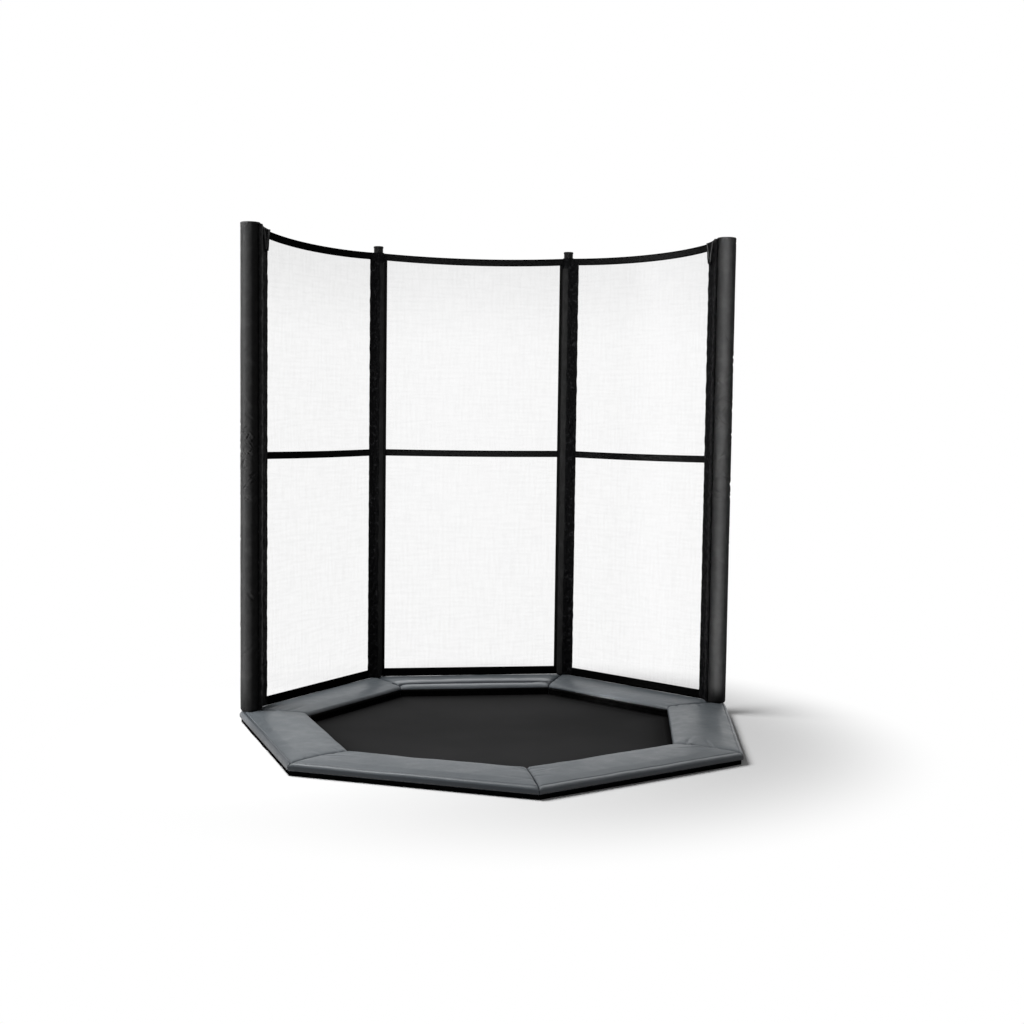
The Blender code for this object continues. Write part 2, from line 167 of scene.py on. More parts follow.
class Look:
    """A material with a Principled shader, built node by node."""

    def __init__(self, name, **sockets):
        self.material = bpy.data.materials.new(name)
        self.material.use_nodes = True
        self.tree = self.material.node_tree
        self.shader = self.tree.nodes["Principled BSDF"]
        self.output = self.tree.nodes["Material Output"]
        self.place = self.add("ShaderNodeTexCoord").outputs["Object"]
        for key, value in sockets.items():
            self.shader.inputs[key.replace("_", " ")].default_value = value

    def add(self, kind, inputs=None, **settings):
        return add_node(self.tree, kind, inputs, **settings)

    def noise(self, scale, detail=2.0, roughness=0.5, place=None):
        inputs = {"Vector": place or self.place, "Scale": scale, "Detail": detail, "Roughness": roughness}
        return self.add("ShaderNodeTexNoise", inputs).outputs["Fac"]

    def stretched(self, scale):
        """The piece's own coordinates, scaled along each axis."""
        return self.add("ShaderNodeMapping", {"Vector": self.place, "Scale": scale}).outputs["Vector"]

    def axis(self, name):
        return self.add("ShaderNodeSeparateXYZ", {"Vector": self.place}).outputs[name]

    def attribute(self, name):
        """What paint() wrote at the vertices."""
        return self.add("ShaderNodeAttribute", attribute_name=name).outputs["Fac"]

    def cells(self, scale, output="Distance"):
        return self.add("ShaderNodeTexVoronoi", {"Vector": self.place, "Scale": scale}).outputs[output]

    def waves(self, direction, scale, place=None, **sockets):
        inputs = {"Vector": place or self.place, "Scale": scale}
        inputs.update((key.replace("_", " "), value) for key, value in sockets.items())
        return self.add("ShaderNodeTexWave", inputs, bands_direction=direction).outputs["Fac"]

    def ramp(self, value, low, high, start=0, end=1):
        inputs = {"Value": value, "From Min": low, "From Max": high, "To Min": start, "To Max": end}
        return self.add("ShaderNodeMapRange", inputs, interpolation_type="SMOOTHSTEP").outputs["Result"]

    def maths(self, operation, a, b=0.0):
        return self.add("ShaderNodeMath", {0: a, 1: b}, operation=operation).outputs["Value"]

    def mixed(self, share, a, b):
        a, b = (tone if isinstance(tone, bpy.types.NodeSocket) else (*tone, 1) for tone in (a, b))
        return self.add("ShaderNodeMix", {"Factor": share, 6: a, 7: b}, data_type="RGBA").outputs[2]

    def bumped(self, height, strength, distance, under=None):
        inputs = {"Height": height, "Strength": strength, "Distance": distance}
        if under is not None:
            inputs["Normal"] = under
        return self.add("ShaderNodeBump", inputs).outputs["Normal"]

    def feed(self, **sockets):
        for key, value in sockets.items():
            self.tree.links.new(value, self.shader.inputs[key.replace("_", " ")])
        return self.material

    def dress(self, tone, normal, patches, smooth, rough):
        """Feeds tone and normal, and a roughness from smooth to rough over the patches."""
        return self.feed(Base_Color=tone, Normal=normal, Roughness=self.ramp(patches, 0.3, 0.7, smooth, rough))


def pad_vinyl():
    """Slate leatherette, with shade painted darker on its sides, seams and crease, and highlights painted lighter on
    its rolls and by its crease, as two attributes tell.
    """
    look = Look("slate_pad_vinyl", Specular_IOR_Level=0.32)
    slate, hazy, pale = (0.078, 0.090, 0.100), (0.100, 0.112, 0.122), (0.122, 0.134, 0.144)
    highlight, shaded = (0.30, 0.315, 0.33), (0.010, 0.013, 0.019)
    broad = look.noise(2.2, 3)
    cloudy = look.noise(14, 4, 0.6)
    tone = look.mixed(look.ramp(broad, 0.35, 0.65), slate, hazy)
    tone = look.mixed(look.ramp(cloudy, 0.45, 0.75, 0, 0.35), tone, pale)
    patchy = look.ramp(cloudy, 0.25, 0.6, 0.55, 1)
    # Painted highlight: a lighter tone where the rolls and the crease's ridges would catch the light
    tone = look.mixed(look.maths("MULTIPLY", look.attribute("painted_highlight"), patchy), tone, highlight)
    # Painted shade: a dark tone on the sides, in the seams and stitching and in the crease, as the attribute side
    # tells
    tone = look.mixed(look.attribute("side"), tone, shaded)
    normal = look.bumped(look.cells(620), 0.25, 0.0004)
    normal = look.bumped(look.noise(130, 3), 0.25, 0.0012, normal)
    normal = look.bumped(look.noise(24, 3, 0.55), 0.22, 0.005, normal)
    return look.dress(tone, normal, cloudy, 0.36, 0.48)


def sleeve_vinyl(name, dark, light):
    look = Look(name, Specular_IOR_Level=0.01)
    cloudy = look.noise(30, 4, 0.6)
    tone = look.mixed(look.ramp(cloudy, 0.4, 0.75), grey(dark), grey(light))
    normal = look.bumped(look.cells(800), 0.25, 0.0003)
    normal = look.bumped(look.noise(90, 4, 0.6), 0.40, 0.0018, normal)
    return look.dress(tone, normal, cloudy, 0.40, 0.52)


def mat_weave():
    """Woven mat, with shade painted darker towards its hem, where the pads shade it, as the attribute rim tells."""
    look = Look("black_mat_weave", Specular_IOR_Level=0.0)
    dark, light, tape = (0.030, 0.030, 0.0305), (0.039, 0.039, 0.0395), (0.044, 0.044, 0.045)
    tapes = []
    for turn in (0.0, math.pi / 2):
        place = look.add("ShaderNodeMapping", {"Vector": look.place, "Rotation": (0, 0, turn)})
        tapes.append(look.waves("X", 110, place.outputs["Vector"]))
    cross = look.maths("MULTIPLY", *tapes)
    tone = look.mixed(look.ramp(look.noise(1.6, 3), 0.3, 0.7), dark, light)
    tone = look.mixed(look.ramp(cross, 0.1, 0.8, 0, 0.5), tone, tape)
    # Painted shade towards the hem
    tone = look.mixed(look.attribute("rim"), tone, grey(0.004))
    return look.dress(tone, look.bumped(cross, 0.25, 0.0005), look.noise(40, 3), 0.74, 0.84)


def webbing(name, dark, light):
    """Woven tape: fine ribs across it, and darker bound edges told by the attribute across."""
    look = Look(name, Specular_IOR_Level=0.0)
    edge = look.ramp(look.attribute("across"), 0.62, 0.80)
    specks = look.noise(420, 2)
    tone = look.mixed(look.ramp(specks, 0.35, 0.7), grey(dark), grey(light))
    tone = look.mixed(edge, tone, grey(dark / 3))
    ribs = look.waves("DIAGONAL", 160, Distortion=0.6, Detail=1.0)
    thread = look.maths("MULTIPLY", edge, look.waves("X", 55))
    normal = look.bumped(thread, 0.5, 0.0008, look.bumped(ribs, 0.4, 0.0006))
    return look.dress(tone, normal, specks, 0.62, 0.80)


def gathered_fabric():
    look = Look("black_gathered_fabric", Specular_IOR_Level=0.03)
    # Lighter flecks, painted glints standing in for highlights off the crumples
    glint_flecks = look.noise(70, 4, 0.65)
    tone = look.mixed(look.ramp(glint_flecks, 0.54, 0.66), (0.0010, 0.0010, 0.0012), (0.016, 0.016, 0.017))
    normal = look.bumped(look.noise(160, 3, 0.6), 0.6, 0.0024)
    return look.dress(tone, normal, glint_flecks, 0.42, 0.62)


def netting():
    """Fine pale mesh: its threads are faint and the gaps between them fainter, with a denser top edge."""
    look = Look("pale_netting", Specular_IOR_Level=0.1, Roughness=0.8)
    waves = [look.waves(way, 78, Distortion=0.25, Detail=1.0, Detail_Scale=0.6) for way in ("X", "Y")]
    weave = look.maths("MAXIMUM", *(look.ramp(wave, 0.55, 0.95) for wave in waves))
    streaks = [look.noise(1.0, 3, 0.6, look.stretched(scale)) for scale in ((95, 9, 1), (9, 85, 1))]
    mottle = look.maths("ADD", *(look.ramp(streak, 0.35, 0.7, 0, 0.017) for streak in streaks))
    denser = look.ramp(look.axis("Y"), NET_TOP - 0.40, NET_TOP - 0.03, 0, 0.052)
    base = look.maths("ADD", look.maths("MULTIPLY", weave, 0.032), 0.010)
    alpha = look.maths("ADD", look.maths("ADD", base, mottle), denser)
    tone = look.mixed(look.ramp(look.noise(9, 3), 0.3, 0.7), (0.13, 0.13, 0.137), (0.18, 0.18, 0.188))
    return look.feed(Base_Color=tone, Alpha=alpha)


def galvanised():
    look = Look("galvanised_steel", Metallic=0.9)
    patches = look.add("ShaderNodeSeparateColor", {"Color": look.cells(90, "Color")}).outputs["Red"]
    tone = look.mixed(patches, (0.46, 0.48, 0.51), (0.62, 0.64, 0.67))
    normal = look.bumped(look.noise(220, 3), 0.15, 0.0006)
    return look.feed(Base_Color=tone, Normal=normal, Roughness=look.ramp(patches, 0, 1, 0.34, 0.56))


def spring_steel():
    look = Look("spring_steel", Metallic=1.0)
    tone = look.mixed(look.noise(60, 3), (0.52, 0.53, 0.55), (0.72, 0.73, 0.75))
    return look.feed(Base_Color=tone, Roughness=look.ramp(look.noise(180, 2), 0.3, 0.7, 0.22, 0.38))


def painted(name, dark, light, smooth, rough, bump, gloss=0.2):
    look = Look(name, Specular_IOR_Level=gloss)
    patches = look.noise(45, 4, 0.6)
    tone = look.mixed(look.ramp(patches, 0.4, 0.7), grey(dark), grey(light))
    normal = look.bumped(look.noise(700, 2), bump, 0.0004)
    return look.dress(tone, normal, patches, smooth, rough)


PAD = pad_vinyl()
SLEEVE = sleeve_vinyl("black_sleeve_vinyl", 0.014, 0.021)
SLIM_SLEEVE = sleeve_vinyl("black_slim_sleeve_vinyl", 0.017, 0.025)
WEAVE = mat_weave()
WEBBING = webbing("black_webbing", 0.004, 0.011)
BINDING = webbing("black_binding", 0.0010, 0.0030)
GATHERED = gathered_fabric()
NETTING = netting()
GALVANISED = galvanised()
SPRING = spring_steel()
POWDER = painted("black_powder_coat", 0.005, 0.009, 0.40, 0.52, 0.25, gloss=0.08)
PIPING = painted("slate_piping", 0.045, 0.070, 0.35, 0.48, 0.2)
TIE = painted("grey_corner_piping", 0.045, 0.075, 0.45, 0.60, 0.2, gloss=0.1)
# Near black, as painted shade on the flaps under the pads' edges
SHADOW_FLAP = painted("shadow_black_flap_vinyl", 0.002, 0.004, 0.55, 0.70, 0.2, gloss=0.0)
# Near black, as painted shade on the pads' inner side faces
SHADED_INNER_SIDE = painted("shade_black_side_vinyl", 0.003, 0.006, 0.50, 0.62, 0.4, gloss=0.03)
MOULDED = painted("black_cap_plastic", 0.005, 0.008, 0.45, 0.58, 0.35, gloss=0.10)

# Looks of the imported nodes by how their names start; the first that fits is taken
NODE_LOOKS = (
    (("top_rail", "corner_socket", "leg"), GALVANISED),
    ("post_cap", MOULDED),
    ("post_", POWDER),
)
for node_name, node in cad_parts.items():
    for start, look_of_node in NODE_LOOKS:
        if node_name.startswith(start):
            node.data.materials.clear()
            node.data.materials.append(look_of_node)
            break


# Mesh making


def add_mesh(name, verts, faces):
    mesh = bpy.data.meshes.new(name)
    mesh.from_pydata([tuple(v) for v in verts], [], [tuple(f) for f in faces])
    return mesh


def add_object(name, data, matrix=None):
    made = bpy.data.objects.new(name, data)
    bpy.context.scene.collection.objects.link(made)
    made.matrix_world = matrix or Matrix()
    return made


def paint(made, name, values):
    """Writes a number at each vertex, for the piece's material to read."""
    made.data.attributes.new(name, "FLOAT", "POINT").data.foreach_set("value", values)


def piece(name, shape, look, matrix=None, crease=40):
    """A piece from a shape's vertices and faces, in the row frame or in a frame of its own."""
    mesh = add_mesh(name, *shape)
    mesh.materials.append(look)
    mesh.shade_smooth()
    mesh.set_sharp_from_angle(angle=math.radians(crease))
    made = add_object(name, mesh, matrix)
    return made


def trim_piece(name, shape, look, matrix):
    """A piece of webbing or of other trim, which rides on the frame."""
    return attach(piece(name, shape, look, matrix), ROOT)


def round_turns(steps):
    return [2 * math.pi * s / steps for s in range(steps)]


def directions(points):
    """The way a line runs at each of its points."""
    run = np.gradient(points, axis=0)
    return run / np.linalg.norm(run, axis=1)[:, None]


def ring_faces(rings, count, closed=False):
    """Faces between rings of count points each, and where closed from the last ring to the first."""
    faces = []
    for ring in range(rings if closed else rings - 1):
        this, following = ring * count, (ring + 1) % rings * count
        for s in range(count):
            t = (s + 1) % count
            faces.append((this + s, this + t, following + t, following + s))
    return faces


def slab(front, back):
    """Vertices and faces of a closed sheet between two grids of points, front facing +Z."""
    rows, columns = front.shape[:2]
    verts = np.concatenate([front.reshape(-1, 3), back.reshape(-1, 3)])
    faces, shift = [], rows * columns
    for r in range(rows - 1):
        for a in range(r * columns, (r + 1) * columns - 1):
            quad = (a, a + 1, a + columns + 1, a + columns)
            faces += [quad, tuple(i + shift for i in reversed(quad))]
    grid = np.arange(shift).reshape(rows, columns)
    rim = np.concatenate([grid[0], grid[1:, -1], grid[-1, -2::-1], grid[-2:0:-1, 0]]).tolist()
    faces += [(i, i + shift, j + shift, j) for i, j in zip(rim, rim[1:] + rim[:1])]
    return verts, faces


def sheet_mesh(rows, columns, place, flip=False):
    """A closed sheet from place(row, column), which gives the front and the back point there."""
    grid = np.array([[place(r, c) for c in range(columns + 1)] for r in range(rows + 1)], float)
    if flip:
        grid = grid[:, ::-1]
    return slab(grid[:, :, 0], grid[:, :, 1])


def ribbon(name, line, width, thickness, side, look=None):
    """A closed band along a line on a net panel, with raised bound edges."""
    rib = 0.0006
    shares = np.array([-1, -0.86, -0.72, -0.5, -0.2, 0.2, 0.5, 0.72, 0.86, 1])
    raised = np.array([0.35, 1, 0.2, 0, 0.1, 0.1, 0, 0.2, 1, 0.35]) * rib
    points = np.array([(x, y, 0) for x, y in line], float)
    run = directions(points)
    across = np.stack([-run[:, 1], run[:, 0], np.zeros(len(run))], axis=1)
    middle = points[:, None, :] + across[:, None, :] * (shares * width / 2)[None, :, None]
    front, back = middle.copy(), middle.copy()
    front[:, :, 2] = thickness / 2 + raised - rib
    back[:, :, 2] = -thickness / 2 - raised + rib
    shape = slab(front[:, ::-1], back[:, ::-1])
    made = piece(name, shape, look or WEBBING, net_frame(side))
    paint(made, "across", np.tile(np.abs(shares)[::-1], 2 * len(points)))
    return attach(made, ROOT)


def tube_mesh(line, radius, sides):
    """Vertices and faces of a round wire along a line, capped at both ends."""
    points = np.array(line, float)
    run = directions(points)
    normal = np.cross(run[0], (0.3, 0.5, 0.81))
    verts = []
    for point, way in zip(points, run):
        normal = normal - way * np.dot(normal, way)
        normal /= np.linalg.norm(normal)
        other = np.cross(way, normal)
        verts.extend(point + radius * (math.cos(t) * normal + math.sin(t) * other) for t in round_turns(sides))
    faces = ring_faces(len(points), sides)
    faces += [tuple(reversed(range(sides))), tuple(range(len(verts) - sides, len(verts)))]
    return verts, faces


def joined(parts):
    """Several (vertices, faces) as one."""
    verts, faces = [], []
    for some, more in parts:
        start = len(verts)
        verts.extend(some)
        faces.extend(tuple(i + start for i in f) for f in more)
    return verts, faces


# Padded covers


PAD_ROWS = 130
BASE_ROLL, CROWN = 0.005, 0.004
OUTER_ROLL = (0.0105, 0.0105)  # across and down
INNER_ROLL = (0.0140, 0.0190)
SIDE_SEAM = 0.0145  # how far below the top the inner side panel, near black as painted shade, is sewn on
PAD_CAP = 0.0035  # how far the cover may swell
SEAM_GAP = 0.0010
CREASED_SIDE = 1
ROLL_PAINTED_LIGHT = (0.3, 0.3, 0.3, 0.2, 0.97, 0.12, -0.6)  # painted light on each outer roll, from ab to ga: above 0 a painted highlight, below 0 painted shade
CREASE_INSET = 0.036
CREASE_DEPTH, CREASE_WIDTH = 0.0075, 0.0060
SEAM_FALL = 0.0060  # how far a cover falls to its mitre seams
STITCH_DEPTH, STITCH_WIDTH = 0.0014, 0.0022
FOLDS_AN_END = 4
WELT_RADIUS = 0.0016


def pad_section():
    """Points (across, height) round a pad's section, from the inner bottom edge outwards and over the top."""
    half, shoulder = PAD_WIDTH / 2, PAD_TOP - PAD_BASE - CROWN
    edge = half - BASE_ROLL
    points = [(y, 0.0) for y in np.linspace(-edge, edge, 14)]
    low_roll = [
        (edge + BASE_ROLL * math.sin(a), BASE_ROLL - BASE_ROLL * math.cos(a)) for a in (math.pi / 6, math.pi / 3)
    ]
    points += low_roll
    across, down = OUTER_ROLL
    points += [(half, z) for z in np.linspace(BASE_ROLL, shoulder - down, 5)]
    turns = np.linspace(0, math.pi / 2, 9)[1:]
    points += [(half - across + across * math.cos(a), shoulder - down + down * math.sin(a)) for a in turns]
    outer, inner = half - across, -half + INNER_ROLL[0]
    crease = -half + CREASE_INSET
    tops = {*np.linspace(outer, inner, 46)[1:-1], *np.arange(crease - 0.012, crease + 0.014, 0.0015)}
    tops |= {outer - 0.0015 * k for k in range(1, 6)}
    points += [(y, shoulder + CROWN * (1 - (y / half) ** 2)) for y in sorted(tops, reverse=True)]
    across, down = INNER_ROLL
    points += [(inner - across * math.sin(a), shoulder - down + down * math.cos(a)) for a in (0, *turns)]
    points += [(-half, z) for z in np.linspace(shoulder - down, BASE_ROLL, 3)[1:]]
    return points + [(-y, z) for y, z in reversed(low_roll)]


def pad_folds(side):
    """Seeded folds of one pad: small ones that start at its mitre seams and fade along it."""
    dice = random.Random(40 + side)
    return [
        {
            "end": end,
            "across": dice.uniform(-0.085, 0.07),
            "slope": dice.uniform(-0.5, 0.5),
            "bend": dice.uniform(-2.5, 2.5),
            "length": dice.uniform(0.05, 0.15),
            "width": dice.uniform(0.005, 0.010),
            "depth": dice.uniform(0.0010, 0.0026) * dice.choice((1, -1)),
        }
        for end in (-1, 1)
        for _ in range(FOLDS_AN_END)
    ]


def fold_height(folds, x, y, seam):
    """How far the folds lift the cover at x along a pad and y across it; seam is the way from x to its seam."""
    lift = 0.0
    for fold in folds:
        if (x > 0) != (fold["end"] > 0):
            continue
        line = fold["across"] + fold["slope"] * seam + fold["bend"] * seam * seam
        away = (y - line) / fold["width"]
        if abs(away) < 3:
            lift += fold["depth"] * math.exp(-away * away) * (1 - smooth_step(0.2, 1, seam / fold["length"]))
    return lift


CLOTH = {
    "quality": 4,
    "mass": 0.3,
    "tension_stiffness": 12,
    "compression_stiffness": 12,
    "shear_stiffness": 6,
    "bending_stiffness": 1.5,
    "use_pressure": True,
    "uniform_pressure_force": 4.0,
    "vertex_group_mass": "pinned",
}
CLOTH_FRAMES = 20


def swell(made, pinned):
    """Fills a cover with air by cloth simulation, and returns the points of the shape it takes."""
    group = made.vertex_groups.new(name="pinned")
    group.add([int(i) for i in np.flatnonzero(pinned)], 1.0, "REPLACE")
    cloth = made.modifiers.new("cloth", "CLOTH")
    for key, value in CLOTH.items():
        setattr(cloth.settings, key, value)
    cloth.settings.effector_weights.gravity = 0
    cloth.point_cache.frame_start, cloth.point_cache.frame_end = 1, CLOTH_FRAMES
    scene = bpy.context.scene
    for step in range(1, CLOTH_FRAMES + 1):
        scene.frame_set(step)
    shape = made.evaluated_get(bpy.context.evaluated_depsgraph_get()).data
    count = len(made.data.vertices)
    before, after = np.empty(count * 3, np.float32), np.empty(count * 3, np.float32)
    made.data.vertices.foreach_get("co", before)
    shape.vertices.foreach_get("co", after)
    move = (after - before).reshape(-1, 3)
    length = np.maximum(np.linalg.norm(move, axis=1), 1e-9)
    move *= np.minimum(1, PAD_CAP / length)[:, None]
    scene.frame_set(1)
    bpy.data.objects.remove(made)
    return before.reshape(-1, 3) + move


def plain_cover():
    """Points, ways to the seam and faces of one cover before its folds, swollen; the seven share them."""
    section = pad_section()
    count = len(section)
    verts = []
    for row in range(PAD_ROWS + 1):
        u = 2 * row / PAD_ROWS - 1
        share = math.copysign(1 - (1 - abs(u)) ** 1.4, u)  # rows lie closer near the seams
        for y, z in section:
            verts.append((share * ((PAD_MIDDLE + y) * SLOPE - SEAM_GAP), y, z))
    faces = [face[1:] + face[:1] for face in ring_faces(PAD_ROWS + 1, count)]
    faces += [tuple(range(PAD_ROWS * count, (PAD_ROWS + 1) * count)), tuple(reversed(range(count)))]
    points = np.array(verts)
    seam = seam_way(points)
    thick = PAD_TOP - PAD_BASE
    edge = np.abs(np.abs(points[:, 1]) - (PAD_WIDTH / 2 - 0.004)) < 0.0035
    pinned = (points[:, 2] < 0.4 * thick) | (seam < 0.003) | (edge & (points[:, 2] > 0.5 * thick))
    points = swell(add_object("swelling", add_mesh("swelling", verts, faces)), pinned)
    return points, seam, faces


def seam_way(points):
    """How far each point of a cover is from its nearer mitre seam."""
    half = (PAD_MIDDLE + points[:, 1]) * SLOPE - SEAM_GAP
    return (half - np.abs(points[:, 0])) * math.cos(HALF_TURN)


def pad_cover(side, plain):
    """One pad's cover: the plain one with its own waves, folds and stitching, and on one side a long crease."""
    points, seam, faces = plain[0].copy(), plain[1], plain[2]
    folds = pad_folds(side)
    dice = random.Random(7 * side + 1)
    drift = Vector((dice.uniform(0, 9), dice.uniform(0, 9), 0))
    thick, half = PAD_TOP - PAD_BASE, PAD_WIDTH / 2
    shade, painted_highlight = [], []
    for k, (x, y, z) in enumerate(points):
        high = smooth_step(0.35 * thick, 0.75 * thick, z)
        depth, way = thick - CROWN - z, max(seam[k], 0.0)
        place = Vector((x, y, z))
        lift = 0.0016 * noise.noise(place * 7 + drift) + 0.0007 * noise.noise(place * 22 + drift)
        lift += fold_height(folds, x, y, way)
        stitched = bell(y - half + OUTER_ROLL[0] + 0.003, STITCH_WIDTH)
        lift -= STITCH_DEPTH * stitched
        # Painted shade in the grooves of the mitre seams and of the stitching
        groove_shade = max(0.85 * math.exp(-way / 0.0032), 0.7 * stitched)
        highlight = 0.0
        if side == CREASED_SIDE:
            off = y + half - CREASE_INSET + 0.022 * math.exp(-way / 0.018)
            lift += -CREASE_DEPTH * bell(off, CREASE_WIDTH) + 0.0030 * bell(off - 0.030, 0.016)
            # Painted shade in the crease
            groove_shade = max(groove_shade, bell(off - 0.004, 0.0090))
            # Painted highlights on the ridges either side of the crease
            highlight = 1.05 * bell(off - 0.034, 0.020) + 0.80 * bell(off + 0.018, 0.010)
        lift -= SEAM_FALL * math.exp(-way / 0.0045)
        points[k] = (x, y + 0.0012 * high * noise.noise(place * 9 - drift), z + high * lift)
        # Painted shade down the sides below the rolls
        if y < 0:
            side_shade = smooth_step(0.0060, 0.0160, depth)
        else:
            # Painted light on the outer roll, set for each side: a highlight above 0, shade below 0
            on_roll = ROLL_PAINTED_LIGHT[side] * (y > half - OUTER_ROLL[0])
            side_shade = max(0.80 * smooth_step(0.0060, 0.0115, depth), -on_roll)
            highlight = max(highlight, on_roll * bell(depth - 0.0020, 0.0028))
        near_edge = abs(y) > half - INNER_ROLL[0] - 0.001
        shade.append(max(groove_shade, side_shade if near_edge else 0.0))
        # The painted highlight fades out towards the seams
        painted_highlight.append(highlight * (1 - math.exp(-way / 0.008)))
    made = piece(f"pad_cover_{side_name(side)}", (points, faces), PAD, crease=62)
    mesh = made.data
    # Inner side faces below the side seam take the near-black material: painted shade
    mesh.materials.append(SHADED_INNER_SIDE)
    limit = thick - CROWN - SIDE_SEAM
    for polygon in mesh.polygons:
        if polygon.center.y < -half + 0.008 and polygon.center.z < limit:
            polygon.material_index = 1
    # The attribute side carries the painted shade
    paint(made, "side", shade)
    paint(made, "painted_highlight", painted_highlight)
    mesh.transform(ring_frame(side + 0.5, PAD_MIDDLE, PAD_BASE))
    mesh.update()
    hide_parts(f"pad_{side_name(side)}")
    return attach(made, ROOT)


def drop_hole(made, corner):
    """Cuts the hole that a post passes through."""
    low, high, steps = PAD_BASE - 0.01, PAD_TOP + 0.02, 24
    thin, wide = 0.0001, TUBE_RADIUS + 0.001
    profile = ((thin, low), (wide, low), (wide, high), (thin, high))
    verts = [(r * math.cos(turn), r * math.sin(turn), z) for turn in round_turns(steps) for r, z in profile]
    mesh = add_mesh("hole", verts, ring_faces(steps, len(profile), closed=True))
    cutter = add_object("hole", mesh, ring_frame(corner, POST_RADIUS))
    cut = made.modifiers.new("hole", "BOOLEAN")
    cut.operation, cut.solver, cut.object = "DIFFERENCE", "EXACT", cutter
    bpy.context.view_layer.update()
    shape = made.evaluated_get(bpy.context.evaluated_depsgraph_get())
    cut_mesh = bpy.data.meshes.new_from_object(shape)
    made.modifiers.remove(cut)
    bpy.data.objects.remove(cutter)
    made.data = cut_mesh


def pad_shadow_skirt(side, name, reach, bottom):
    """A flap that hangs from a pad's edge, black as painted shade for the shade under that edge."""
    half = reach * SLOPE - 0.001
    top = PAD_BASE + 0.003
    drift = Vector((side * 3.1, reach * 5, 0))
    xs, levels = np.linspace(-half, half, 90), np.linspace(0, 1, 5)

    def place(r, c):
        wave = 0.0020 * uneven(xs[r] * 14, 0, 0, drift)
        y, z = reach + wave * levels[c], top + (bottom - top) * levels[c]
        return (xs[r], y, z), (xs[r], y - 0.0012, z)

    shape = sheet_mesh(len(xs) - 1, len(levels) - 1, place)
    made = trim_piece(f"{name}_{side_name(side)}", shape, SHADOW_FLAP, ring_frame(side + 0.5))
    f"pad_cover_{side_name(side)}"


def pad_welt(side):
    """The piping sewn along a pad's outer bottom edge."""
    reach = PAD_OUTER - 0.0012
    half = reach * SLOPE - 0.0025
    line = [(x, reach, PAD_BASE + 0.0042) for x in np.linspace(-half, half, 60)]
    shape = tube_mesh(line, WELT_RADIUS, 8)
    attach(piece(f"pad_welt_{side_name(side)}", shape, PIPING, ring_frame(side + 0.5)), ROOT)


plain = plain_cover()
covers = [pad_cover(side, plain) for side in range(SIDES)]
for side, cover in enumerate(covers):
    for corner in (side, (side + 1) % SIDES):
        if corner < POSTS:
            drop_hole(cover, corner)
    # Flaps under the outer and inner edges, black as painted shade
    pad_shadow_skirt(side, "pad_shadow_skirt", PAD_OUTER - 0.006, GROUND + 0.0005)
    pad_shadow_skirt(side, "inner_shadow_flap", PAD_INNER + 0.005, BED_HEIGHT + 0.0045)
    pad_welt(side)


# Post sleeves, and the loops that hold the net to the slim ones


CRUMPLE_RISE = 0.93  # from the pads to the middle of the crumpled part of the front sleeves
# That part of the front sleeves by corner: its ends, and its creases as seed, count, low, high and size
CRUMPLED = {
    0: (-0.18, 0.13, ((11, 80, 0.0, 0.10, 0.60), (31, 50, -0.16, 0.0, 0.60))),
    POSTS - 1: (-0.18, 0.44, ((14, 46, -0.18, 0.44, 1.4),)),
}


def crumples(seed, count, low, high, size=1.0):
    """Short seeded creases on a sleeve: the angle round it and height of each middle, its tilt and its size."""
    dice = random.Random(seed)
    return [
        {
            "turn": dice.uniform(-math.pi, math.pi),
            "height": dice.uniform(low, high),
            "tilt": dice.choice((-1, 1)) * dice.uniform(0.45, 1.05),
            "length": size * dice.uniform(0.014, 0.034),
            "width": size * dice.uniform(0.0034, 0.0050),
            "depth": size * dice.uniform(0.0012, 0.0024),
        }
        for _ in range(count)
    ]


def sleeve_heights(bottom, top, fine_low, fine_high):
    """Heights of a sleeve's rows, closer together where it is crumpled."""
    heights = [*np.arange(bottom, fine_low, 0.0056), *np.arange(fine_low, fine_high, 0.0022)]
    return np.array([*heights, *np.arange(fine_high, top - 0.003, 0.0056), top])


def post_tube(radii, heights):
    """Vertices and faces of a tube on a post, from its outer radius at each height and turn."""
    turns, bore = round_turns(radii.shape[1]), TUBE_RADIUS + SLIP
    verts = [(r * math.cos(t), r * math.sin(t), z) for row, z in zip(radii, heights) for r, t in zip(row, turns)]
    for end in (heights[-1], heights[0]):
        verts.extend((bore * math.cos(t), bore * math.sin(t), end) for t in turns)
    return verts, ring_faces(len(heights) + 2, len(turns), closed=True)


